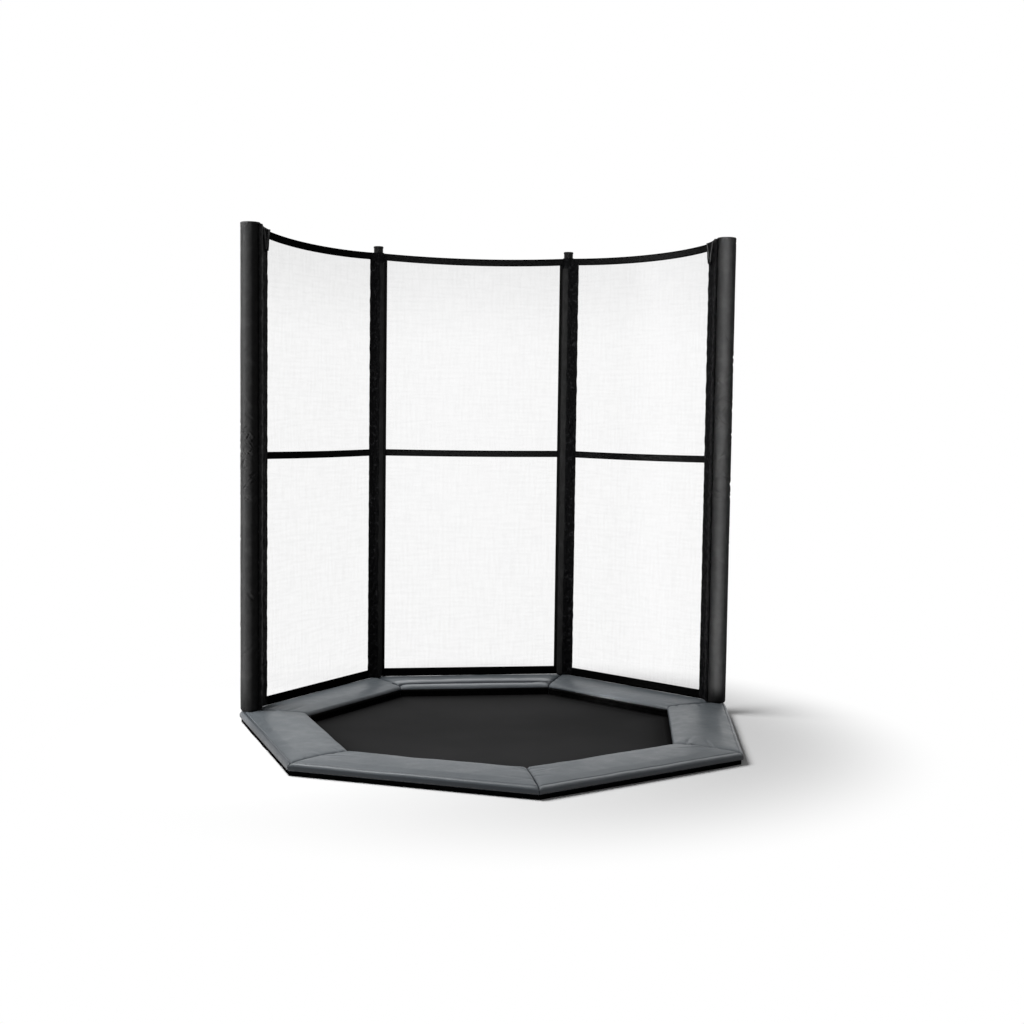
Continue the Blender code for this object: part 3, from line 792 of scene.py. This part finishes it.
def sleeve(corner, radius, heights, creases, look, steps, dip):
    """A foam tube in a stitched cover round a post; dip is how deep its soft unevenness is."""
    bottom, top = heights[0], heights[-1]
    outer = np.zeros((len(heights), steps))
    turns = np.array(round_turns(steps))
    for crease in creases:
        around = (turns - crease["turn"] + math.pi) % (2 * math.pi) - math.pi
        u = (around * radius)[None, :]
        v = (heights - crease["height"])[:, None]
        along = u * math.cos(crease["tilt"]) + v * math.sin(crease["tilt"])
        off = -u * math.sin(crease["tilt"]) + v * math.cos(crease["tilt"])
        reach = np.exp(-((along / crease["length"]) ** 4))
        outer -= crease["depth"] * reach * np.exp(-((off / crease["width"]) ** 2))
        outer += 0.5 * crease["depth"] * reach * np.exp(-(((off - 1.6 * crease["width"]) / crease["width"]) ** 2))
    seam_turn = math.pi / 2
    drift = Vector((corner * 5.3, 1.7, 0))
    for r, height in enumerate(heights):
        for s, turn in enumerate(turns):
            place = Vector((math.cos(turn) * radius, math.sin(turn) * radius, height * 0.6))
            soft = noise.noise(place * 9 + drift) * dip + noise.noise(place * 34 + drift) * dip * 0.35
            around = abs((turn - seam_turn + math.pi) % (2 * math.pi) - math.pi) * radius
            outer[r, s] += soft - dip - 0.0012 * math.exp(-((around / 0.0018) ** 2))
        hem = min(height - bottom, top - height)
        outer[r] -= 0.0011 * math.exp(-(((hem - 0.014) / 0.0016) ** 2))
        outer[r] -= 0.0030 * math.exp(-(height - bottom) / 0.0022)
    shape = post_tube(np.minimum(radius + outer, radius - 0.0002), heights)
    place = ring_frame(corner, POST_RADIUS)
    made = piece(f"sleeve_{letter(corner)}", shape, look, place)
    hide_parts(f"post_sleeve_{letter(corner)}")
    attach(made, ROOT)


def post_loop(corner):
    """The fabric tunnel that the net's top edge makes round a slim post."""
    steps, rows = 48, 22
    bottom, top, radius = NET_TOP - LOOP_HEIGHT, NET_TOP + 0.002, 0.0235
    heights = [bottom + (top - bottom) * r / rows for r in range(rows + 1)]
    drift = Vector((corner * 2.3, 4.0, 0))
    radii = np.empty((rows + 1, steps))
    for r, height in enumerate(heights):
        pinch = 0.0018 * math.exp(-min(height - bottom, top - height) / 0.002)
        for s, turn in enumerate(round_turns(steps)):
            place = Vector((math.cos(turn), math.sin(turn), height * 30))
            size = radius + 0.0016 * noise.noise(place * 2.2 + drift) - pinch
            radii[r, s] = size + 0.0011 * max(0, math.sin(3 * turn + height * 60))
    place = ring_frame(corner, POST_RADIUS)
    return trim_piece(f"net_loop_{letter(corner)}", post_tube(radii, heights), GATHERED, place)


loops = {}
for corner in range(POSTS):
    if is_front(corner):
        middle = PAD_TOP + CRUMPLE_RISE
        below, above, sets = CRUMPLED[corner]
        marks = []
        for seed, count, low, high, size in sets:
            marks += crumples(seed, count, middle + low, middle + high, size)
        marks += crumples(51 + corner, 30, PAD_TOP + 0.15, POST_TOP - 0.25)
        heights = sleeve_heights(SLEEVE_FOOT, POST_TOP, middle + below, middle + above)
        sleeve(corner, FRONT_SLEEVE, heights, marks, SLEEVE, steps=104, dip=0.0006)
    else:
        marks = crumples(31 + corner, 24, PAD_TOP + 0.1, NET_TOP - 0.1)
        heights = sleeve_heights(SLEEVE_FOOT, NET_TOP - LOOP_HEIGHT, 1.0, 1.3)
        sleeve(corner, BACK_SLEEVE, heights, marks, SLIM_SLEEVE, steps=56, dip=0.0004)
        loops[corner] = post_loop(corner)


# Safety net


def sag_height(side, x, span):
    """Height of a panel's top edge: it hangs between the posts and is drawn up at the front ones."""
    left, right = span
    share = min(max((x - left) / (right - left), 0), 1)
    height = NET_TOP - NET_SAG * 4 * share * (1 - share)
    for corner, away in ((side, x - left), (side + 1, right - x)):
        if is_front(corner):
            height += FRONT_RISE * math.exp(-max(away - 0.034, 0) / 0.12)
    return height


def hug_path(radius, turn, end):
    """A gathered band from above, as points (along the side, inwards) from its post: round the sleeve, then level."""
    arc = [(radius * math.cos(a), radius * math.sin(a)) for a in np.linspace(turn, LEAVE_TURN, 12)]
    knee = radius / math.cos(LEAVE_TURN)
    x, z = arc[-1]
    shares = np.linspace(0, 1, 24)
    curve = [((1 - t) ** 2 * x + 2 * t * (1 - t) * knee + t * t * end, (1 - t) ** 2 * z) for t in shares]
    line = np.array(arc + curve[1:])
    gone = np.concatenate([[0], np.cumsum(np.linalg.norm(np.diff(line, axis=0), axis=1))])
    even = np.linspace(0, gone[-1], BAND_COLUMNS)
    return np.stack([np.interp(even, gone, line[:, 0]), np.interp(even, gone, line[:, 1])], axis=1)


def gathered_band(side, name, post, sign, path, span, peak):
    """An upright band of gathered fabric from its post's sleeve to the net, its top drawn up there by peak."""
    low = NET_BASE + 0.002
    run = directions(path)
    drift = Vector((side * 4.7 + post * 9, 0, 0))

    def place(r, c):
        share, across = r / BAND_ROWS, c / (BAND_COLUMNS - 1)
        (away, out), (ahead, rise) = path[c], run[c]
        waver = 0.0022 * uneven(share * 46, 3, 0, drift) * across
        hem = 0.0030 * uneven(share * 30, 7, 0, drift) * (1 - across)
        away += waver * ahead + hem * ahead
        out += hem * rise
        top = sag_height(side, post + sign * away, span) - 0.002 + peak * (1 - smooth_step(0.032, 0.075, away))
        y = low + (top - low) * share
        spot = Vector((across * 3.2, y * 42, 0)) + drift
        puff = noise.noise(spot) + 0.6 * noise.noise(spot * 2.3)
        pleat = abs(uneven(across * 5, y * 16, 5, drift))
        edge = math.sin(math.pi * min(max(across, 0.04), 0.96)) ** 0.5
        height = (0.0034 * puff + 0.0030 * pleat) * edge
        thick = 0.0008 + 0.0026 * edge
        lifts = (height + thick, height * 0.6 - thick)
        return [(post + sign * (away - rise * lift), y, out + ahead * lift) for lift in lifts]

    shape = sheet_mesh(BAND_ROWS, BAND_COLUMNS - 1, place, flip=sign < 0)
    return trim_piece(name, shape, GATHERED, net_frame(side))


def net_panel(side):
    """A side's netting, with its borders and what ties it to its two posts."""
    half = POST_RADIUS * math.sin(HALF_TURN)
    near, far = (FRONT_SLEEVE if is_front(corner) else BACK_SLEEVE for corner in (side, side + 1))
    span = left, right = -half + near - TUCK, half - far + TUCK
    strap = PAD_TOP + STRAP_RISE
    name = side_name(side)
    columns, rows = 44, 96
    drift = Vector((side * 6.1, 2.0, 0))

    def place(r, c):
        x = left + (right - left) * c / columns
        y = NET_BASE + (sag_height(side, x, span) - 0.004 - NET_BASE) * r / rows
        held = math.sin(math.pi * c / columns) * min(1, 12 * abs(y - strap)) * math.sin(math.pi * r / rows)
        z = -0.0030 + held * (0.006 * uneven(x * 3, y * 2.2, 0, drift) - 0.004)
        return (x, y, z), (x, y, z - NETTING_THICK)

    shape = sheet_mesh(rows, columns, place)
    panel = piece(f"netting_{name}", shape, NETTING, net_frame(side))
    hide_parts(f"net_panel_{name}")
    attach(panel, ROOT)

    gathered = side in (0, POSTS - 2)
    widths = [BAND_REACH[c] if gathered else SLIM_EDGE for c in (side, side + 1)]
    xs = np.linspace(left, right, 60)
    inner = np.linspace(left + 0.8 * widths[0], right - 0.8 * widths[1], 40)
    top_line = [(x, sag_height(side, x, span) - TOP_BAND / 2) for x in xs]
    strap_line = [(x, strap - 0.002 * math.sin(math.pi * k / 39)) for k, x in enumerate(inner)]
    base_line = [(x, NET_BASE + BOTTOM_BAND / 2) for x in xs]
    trim = [
        ribbon(f"top_band_{name}", top_line, TOP_BAND, BAND_THICK, side),
        ribbon(f"mid_strap_{name}", strap_line, STRAP, STRAP_THICK, side),
        ribbon(f"bottom_band_{name}", base_line, BOTTOM_BAND, BAND_THICK, side, BINDING),
    ]
    ends = ((1, left, side, near, widths[0]), (-1, right, side + 1, far, widths[1]))
    for sign, start, corner, radius, width in ends:
        tag = f"{name}_{letter(corner)}"
        if gathered:
            path = hug_path(radius + 0.0035, math.radians(BAND_TURN[corner]), radius - TUCK + width)
            post = -sign * half
            peak = POST_TOP + 0.004 - NET_TOP - FRONT_RISE if is_front(corner) else 0.0
            trim.append(gathered_band(side, f"gathered_band_{tag}", post, sign, path, span, peak))
            if is_front(corner):
                trim += corner_ties(side, start, sign, name, path, post, width + 0.008)
        else:
            middle = start + sign * SLIM_EDGE / 2
            line = [(middle, y) for y in np.linspace(NET_BASE + 0.001, NET_TOP - 0.001, 80)]
            trim += [ribbon(f"slim_edge_{tag}", line, SLIM_EDGE, EDGE_THICK, side), loops[corner]]
    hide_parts(f"net_border_{name}")
    posts = [f"post_{letter(side)}", f"post_{letter(side + 1)}"]


def corner_ties(side, start, sign, name, path, post, wide):
    """The gusset that joins a side panel's top corner to its post, with the two pipings and the knot that draw it."""
    high, drop = NET_TOP + FRONT_RISE, 0.110
    rows, columns = 44, 20
    drift = Vector((side * 2.9, sign, 0))

    def band_out(x):
        """How far the gathered band stands off the panel at x."""
        return np.interp(abs(x - post), path[:, 0], path[:, 1])

    def place(r, c):
        down, across = r / rows, c / columns
        level = max(0, (across - 0.1) / 0.9)
        top = POST_TOP + 0.005 - (POST_TOP - high + 0.009) * level
        bottom = high - drop + 0.030 * across
        x = start + sign * wide * across * (1 - 0.12 * down * down)
        y = top + (bottom - top) * down
        fold = math.sin(across * 9 + down * 4) * 0.0011
        fold += 0.0016 * uneven(across * 4, y * 60, 0, drift)
        out = band_out(x) + 0.0062 + fold
        return (x, y, out), (x, y, out - GUSSET_THICK)

    shape = sheet_mesh(rows, columns, place, flip=sign > 0)
    made = [trim_piece(f"corner_gusset_{name}", shape, GATHERED, net_frame(side))]
    steps = np.linspace(0, 1, 16)
    pipings = (
        ("post", [(wide * (0.34 + 0.24 * s + 0.04 * math.sin(3 * s)), POST_TOP - 0.006 - 0.075 * s) for s in steps]),
        ("net", [(wide * (0.92 - 0.24 * s), high - 0.003 - 0.064 * s) for s in steps]),
    )
    for tag, line in pipings:
        line = [(start + sign * x, y, 0.0086 + band_out(start + sign * x)) for x, y in line]
        shape = tube_mesh(line, TIE_RADIUS, 10)
        made.append(trim_piece(f"corner_piping_{name}_{tag}", shape, TIE, net_frame(side)))
    verts = []
    ball = bmesh.new()
    bmesh.ops.create_icosphere(ball, subdivisions=4, radius=1)
    for vert in ball.verts:
        bumpy = 1 + 0.25 * noise.noise(vert.co * 1.7 + Vector((side * 3, sign, 0)))
        verts.append([share * size * bumpy for share, size in zip(vert.co, KNOT_SIZE)])
    faces = [[v.index for v in f.verts] for f in ball.faces]
    ball.free()
    knot = net_frame(side) @ Matrix.Translation((start + sign * wide * 0.65, high - 0.074, 0.0080))
    made.append(trim_piece(f"corner_knot_{name}", (verts, faces), GATHERED, knot))
    return made


for side in range(POSTS - 1):
    net_panel(side)


# Mat and springs


ROD_LINE = MAT_APOTHEM + SLIP + ROD_RADIUS
RAIL_FACE = RAIL_APOTHEM - TUBE_RADIUS
COIL_RADIUS, COIL_PITCH, COIL_STEPS = 0.0078, 0.0030, 10
WIRE_RADIUS, HOOK_RADIUS, HOOK_LENGTH = 0.0011, 0.0048, 0.018
LOOP_RADIUS = ROD_RADIUS + 0.0013  # of the hem's loops round the rod


def in_ring(side, shape):
    """A shape made on one side of the bed, in the row frame."""
    matrix = ring_frame(side + 0.5, 0, BED_HEIGHT)
    return [matrix @ Vector(p) for p in shape[0]], shape[1]


def bend_with_bed(made, side):
    """Bakes a piece of the bed's placement into its mesh."""
    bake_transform(made)


def mat_sector(side):
    """A seventh of the mat, from its middle to its hem on the rod."""
    hem = 1 - MAT_HEM / MAT_APOTHEM
    shares = [0, *np.linspace(0.06, hem - 0.012, 15)]
    shares += [hem - 0.003, hem, hem + 0.004, hem + 0.02, 0.975, 0.992, 1.0]
    columns = 20

    def place(r, c):
        share = shares[-1 - r]
        reach = share * MAT_APOTHEM
        half = reach * SLOPE
        x = np.linspace(-half, half, columns + 1)[-1 - c]
        thick = 0.0018 if share == 1.0 else 0.0015 + 0.0015 * smooth_step(hem - 0.003, hem + 0.003, share)
        return (x, reach, thick), (x, reach, -thick)

    verts, faces = in_ring(side, sheet_mesh(len(shares) - 1, columns, place))
    mesh = bmesh.new()
    placed = [mesh.verts.new(p) for p in verts]
    for face in faces:
        mesh.faces.new([placed[i] for i in face])
    bmesh.ops.remove_doubles(mesh, verts=mesh.verts, dist=1e-6)
    bmesh.ops.recalc_face_normals(mesh, faces=mesh.faces)
    verts = [v.co.copy() for v in mesh.verts]
    mesh.verts.index_update()
    faces = [[v.index for v in f.verts] for f in mesh.faces]
    mesh.free()
    made = piece(f"mat_sector_{side_name(side)}", (verts, faces), WEAVE, crease=50)
    inward = ring_frame(side + 0.5, 0, BED_HEIGHT).inverted()
    inset = [MAT_APOTHEM - (inward @ v).y for v in verts]
    # rim: how much painted shade the mat gets, most at its hem
    rim = [0.75 * math.exp(-max(d - MAT_HEM / 2, 0) / 0.045) + 0.25 * math.exp(-max(d, 0) / 0.20) for d in inset]
    paint(made, "rim", rim)
    if side == 0:
        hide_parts("mat")
    length = 2 * MAT_APOTHEM * SLOPE
    area, springs = length * MAT_APOTHEM / 2, f"springs_{side_name(side)}"
    bend_with_bed(made, side)


def spring_line(place):
    """The wire's line of one coil spring: hook, coils, hook."""
    inner, outer = ROD_LINE, RAIL_FACE + 0.0045
    coiled = outer - inner - 2 * HOOK_LENGTH
    hook = [math.pi * (1.15 - k / 8) for k in range(9)]
    points = [(place, inner + HOOK_RADIUS * math.cos(a), HOOK_RADIUS * math.sin(a)) for a in hook]
    points.append((place, inner + HOOK_LENGTH * 0.6, 0.002))
    count = int(coiled / COIL_PITCH) * COIL_STEPS
    for k in range(count + 1):
        a = 2 * math.pi * k / COIL_STEPS
        y = inner + HOOK_LENGTH + coiled * k / count
        points.append((place + COIL_RADIUS * math.cos(a), y, COIL_RADIUS * math.sin(a)))
    ends = ((outer - HOOK_LENGTH * 0.55, 0.001), (outer - 0.004, 0.0), (outer, 0.0))
    return points + [(place, y, z) for y, z in ends]


def spring_row(side):
    """A side's coil springs on their rod, and the loops of hem that hold the rod between them."""
    rod_half = ROD_LINE * SLOPE - 0.006
    first = rod_half - 0.075
    places = [first * (2 * k / (SPRINGS_A_SIDE - 1) - 1) for k in range(SPRINGS_A_SIDE)]
    parts = [tube_mesh([(x, ROD_LINE, 0) for x in np.linspace(-rod_half, rod_half, 30)], ROD_RADIUS, 8)]
    parts += [tube_mesh(spring_line(x), WIRE_RADIUS, 5) for x in places]
    made = piece(f"springs_{side_name(side)}", in_ring(side, joined(parts)), SPRING)
    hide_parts(f"spring_row_{side_name(side)}")
    bend_with_bed(made, side)
    starts = [-rod_half + 0.004, *(x + 0.011 for x in places)]
    ends = [*(x - 0.011 for x in places), rod_half - 0.004]
    lines = [[(x, ROD_LINE, 0) for x in np.linspace(start, end, 12)] for start, end in zip(starts, ends)]
    shape = joined(tube_mesh(line, LOOP_RADIUS, 10) for line in lines)
    bend_with_bed(piece(f"rod_loops_{side_name(side)}", in_ring(side, shape), WEBBING), side)


for side in range(SIDES):
    spring_row(side)
    mat_sector(side)


# Studio


WORLD_LEVEL = 0.09
FLOOR_REACHES = (1.6, 4, 12, 60)


def seen_ray(tree):
    """1 on the rays that show a surface itself: camera, glossy and transmission rays."""
    rays = add_node(tree, "ShaderNodeLightPath").outputs
    seen = rays["Is Camera Ray"]
    for ray in ("Is Glossy Ray", "Is Transmission Ray"):
        seen = add_node(tree, "ShaderNodeMath", {0: seen, 1: rays[ray]}, operation="MAXIMUM").outputs["Value"]
    return seen


def studio_floor():
    """Pale ground with a pit that the frame stands in; away from the pads it is plain white."""
    pit = PAD_OUTER - 0.014
    rings = ((pit, -0.004), (pit, GROUND), *((reach, GROUND) for reach in FLOOR_REACHES))
    corners = [
        ring_frame(k, reach / math.cos(HALF_TURN), height).translation for reach, height in rings for k in range(SIDES)
    ]
    faces = [tuple(reversed(range(SIDES)))]
    faces += [(a, d, c, b) for a, b, c, d in ring_faces(len(rings), SIDES)]
    mesh = add_mesh("floor", corners, faces)
    look = Look("pale_floor", Roughness=0.9, Specular_IOR_Level=0.0)
    look.feed(Base_Color=look.mixed(look.noise(3, 2), grey(0.93), grey(0.95)))
    white = look.add("ShaderNodeEmission", {"Color": (1, 1, 1, 1), "Strength": 1.0})
    away = look.add("ShaderNodeVectorMath", {0: look.place}, operation="LENGTH").outputs["Value"]
    share = look.maths("MULTIPLY", look.ramp(away, 0.86, 1.6), seen_ray(look.tree))
    blend = look.add("ShaderNodeMixShader", {"Fac": share, 1: look.shader.outputs[0], 2: white.outputs[0]})
    look.tree.links.new(blend.outputs[0], look.output.inputs["Surface"])
    mesh.materials.append(look.material)
    add_object("floor", mesh)


def studio_world():
    """A world that is seen white and lights at WORLD_LEVEL."""
    world = bpy.data.worlds.new("studio")
    world.use_nodes = True
    tree = world.node_tree
    tree.nodes.clear()
    inputs = {"Value": seen_ray(tree), "To Min": WORLD_LEVEL, "To Max": 1.0}
    level = add_node(tree, "ShaderNodeMapRange", inputs).outputs["Result"]
    background = add_node(tree, "ShaderNodeBackground", {"Color": (1, 1, 1, 1), "Strength": level})
    add_node(tree, "ShaderNodeOutputWorld", {"Surface": background.outputs[0]})
    bpy.context.scene.world = world


def softbox(name, place, aim, width, height, power, spread):
    """A plain rectangular lamp in watts, whose light spreads by so many degrees."""
    light = bpy.data.lights.new(name, "AREA")
    light.shape = "RECTANGLE"
    light.size, light.size_y = width, height
    light.energy = power
    light.spread = math.radians(spread)
    made = add_object(name, light)
    made.location = place
    made.rotation_euler = (Vector(aim) - Vector(place)).to_track_quat("-Z", "Y").to_euler()


studio_floor()
studio_world()
softbox("overhead", (-2.0, 0.1, 3.6), (-0.5, -0.05, 0.2), 2.2, 2.0, power=66, spread=110)
softbox("left", (-2.05, -0.064, 1.30), (-0.877, 0.2, 1.28), 0.2, 2.0, power=6.6, spread=14)
far_post = ring_frame(POSTS - 1, POST_RADIUS, 1.225).translation
softbox("right", far_post + Vector((-0.785, -2.583, 0)), far_post, 0.02, 1.85, power=1.15, spread=1.6)
softbox("front", (-0.45, -2.5, 1.4), (0.0, 0.81, 1.38), 0.3, 1.6, power=4.5, spread=22)

# The camera, fitted to the photograph's view; it looks at TARGET from DISTANCE away
AZIMUTH, ELEVATION, ROLL = math.radians(-8.486), math.radians(3.977), math.radians(0.756)
DISTANCE, TARGET = 5.067, Vector((0.0420, 0, 1.0131))
FOCAL_PIXELS, PICTURE_PIXELS, SENSOR_WIDTH = 1400, 1024, 36
level_reach = math.cos(ELEVATION)
back = Vector((math.sin(AZIMUTH) * level_reach, -math.cos(AZIMUTH) * level_reach, math.sin(ELEVATION)))
right = (-back).cross(Vector((0, 0, 1))).normalized()
up = right.cross(-back)
rolled_right = right * math.cos(ROLL) + up * math.sin(ROLL)
rolled_up = up * math.cos(ROLL) - right * math.sin(ROLL)
turn = Matrix((rolled_right, rolled_up, back)).transposed().to_4x4()
camera = add_object("camera", bpy.data.cameras.new("camera"), Matrix.Translation(TARGET + back * DISTANCE) @ turn)
camera.data.sensor_width = SENSOR_WIDTH
camera.data.lens = FOCAL_PIXELS / PICTURE_PIXELS * SENSOR_WIDTH
camera.data.clip_end = 200
bpy.context.scene.camera = camera
bpy.context.scene.view_settings.view_transform = "Standard"
